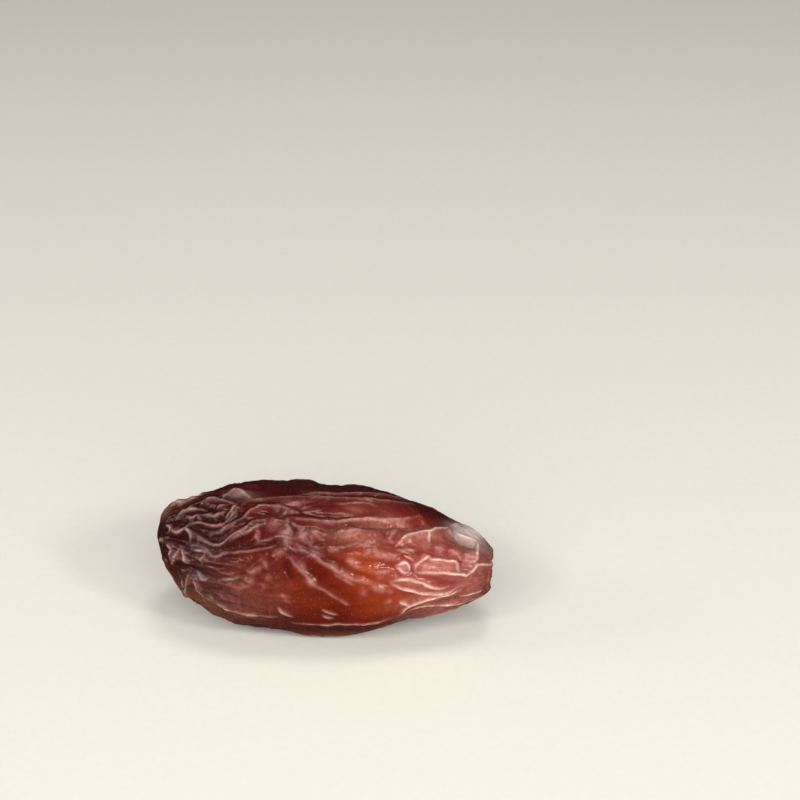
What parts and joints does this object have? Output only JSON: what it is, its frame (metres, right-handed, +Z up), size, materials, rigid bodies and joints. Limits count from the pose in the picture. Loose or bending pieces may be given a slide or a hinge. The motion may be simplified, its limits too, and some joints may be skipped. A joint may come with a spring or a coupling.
{
  "type": "dried date",
  "caption": "Whole dried date, a long soft fruit with glossy wrinkled skin, puckered at one end and blunt at the stem end.",
  "frame": {"origin": "middle of the underside of the bounding box, on the surface that the date rests on", "axes": "+X from the puckered tip to the blunt stem end, +Z up through the thinner way of the fruit, -Y towards the side that the picture shows"},
  "size_m": [0.0464, 0.0224, 0.0188],
  "materials": {
    "date_skin": "glossy, wrinkled, slightly translucent dried skin"
  },
  "bodies": {
    "root": {"date": "date_skin"}
  },
  "joints": []
}
